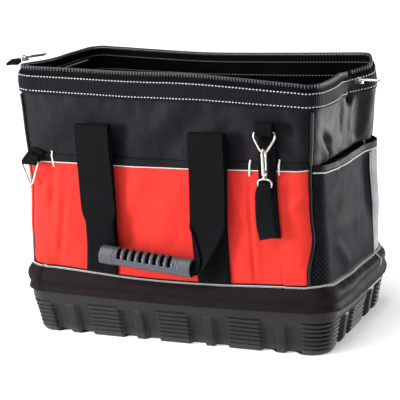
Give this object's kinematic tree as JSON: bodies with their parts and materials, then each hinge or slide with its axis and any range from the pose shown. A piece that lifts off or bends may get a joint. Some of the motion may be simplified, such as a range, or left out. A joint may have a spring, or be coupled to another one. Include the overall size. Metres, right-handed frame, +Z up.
{
  "type": "tool bag",
  "caption": "Open-top soft tool bag with a moulded rubber base, flat pockets, two webbing handles with tube grips, a zip along the mouth, a key keeper with a snap hook and a side ring.",
  "frame": {"origin": "middle of the underside of the moulded base, on the floor plane", "axes": "+Z up, +X to the right seen from the front, the front wall with the key keeper faces -Y"},
  "size_m": [0.4872, 0.3114, 0.3887],
  "materials": {
    "rubber": "moulded dark grey rubber with a fine grain, semi-matt",
    "black_cloth": "black woven polyester, coated, matt with a faint weave",
    "red_cloth": "red woven polyester, matt with a faint weave",
    "mesh_cloth": "black open mesh cloth",
    "white_cord": "white cord piping",
    "black_cord": "black bound seam cord",
    "webbing": "black ribbed webbing",
    "zip_coil": "black moulded zip teeth",
    "nickel": "bright nickel plate",
    "grip_plastic": "mid grey moulded plastic, satin"
  },
  "bodies": {
    "bag": {"rubber_base": "rubber", "body_shell": "black_cloth", "base_band": "black_cloth", "base_piping": "white_cord", "front_pocket": "red_cloth", "front_pocket_binding": "black_cloth", "front_pocket_piping": "white_cord", "back_pocket": "red_cloth", "back_pocket_binding": "black_cloth", "back_pocket_piping": "white_cord", "right_pocket_mesh": "mesh_cloth", "right_pocket_binding": "black_cloth", "right_pocket_piping": "white_cord", "left_pocket": "red_cloth", "left_pocket_binding": "black_cloth", "left_pocket_piping": "white_cord", "corner_piping_fl": "black_cord", "corner_piping_fr": "black_cord", "corner_piping_br": "black_cord", "corner_piping_bl": "black_cord", "rim_band": "webbing", "zip_tape_front": "webbing", "zip_tape_back": "webbing", "zip_coil_front": "zip_coil", "zip_coil_back": "zip_coil", "zip_slider_left": "nickel", "zip_end_tab": "webbing", "zip_slider_right": "nickel", "strap_front_left": "webbing", "strap_back_left": "webbing", "strap_front_right": "webbing", "strap_back_right": "webbing", "handle_webbing_front": "webbing", "grip_front": "grip_plastic", "handle_webbing_back": "webbing", "grip_back": "grip_plastic", "keeper_strip": "webbing", "keeper_loop": "webbing", "keeper_ring": "nickel", "snap_hook": "nickel", "swivel_eye": "nickel", "keeper_strap": "webbing", "ring_tab": "webbing", "side_ring": "nickel"},
    "pull_left": {"zip_pull_left": "nickel"},
    "pull_right": {"zip_pull_right": "nickel"},
    "lever": {"hook_lever": "nickel"}
  },
  "joints": [
    {"name": "left_pull_hinge", "type": "hinge", "parent": "bag", "child": "pull_left", "pos_m": [-0.21684, -0.09073, 0.38537], "axis": [0.8235, -0.4752, 0.3101], "range_deg": [0, 110]},
    {"name": "right_pull_hinge", "type": "hinge", "parent": "bag", "child": "pull_right", "pos_m": [0.21726, 0.04964, 0.3355], "axis": [-0.05, -0.9987, 0.001], "range_deg": [0, 95]},
    {"name": "hook_lever_hinge", "type": "hinge", "parent": "bag", "child": "lever", "pos_m": [0.1488, -0.1269, 0.249], "axis": [1, 0, 0], "range_deg": [0, 25], "stiffness_Nm_per_rad": 0.02, "springref_deg": -8.59}
  ]
}
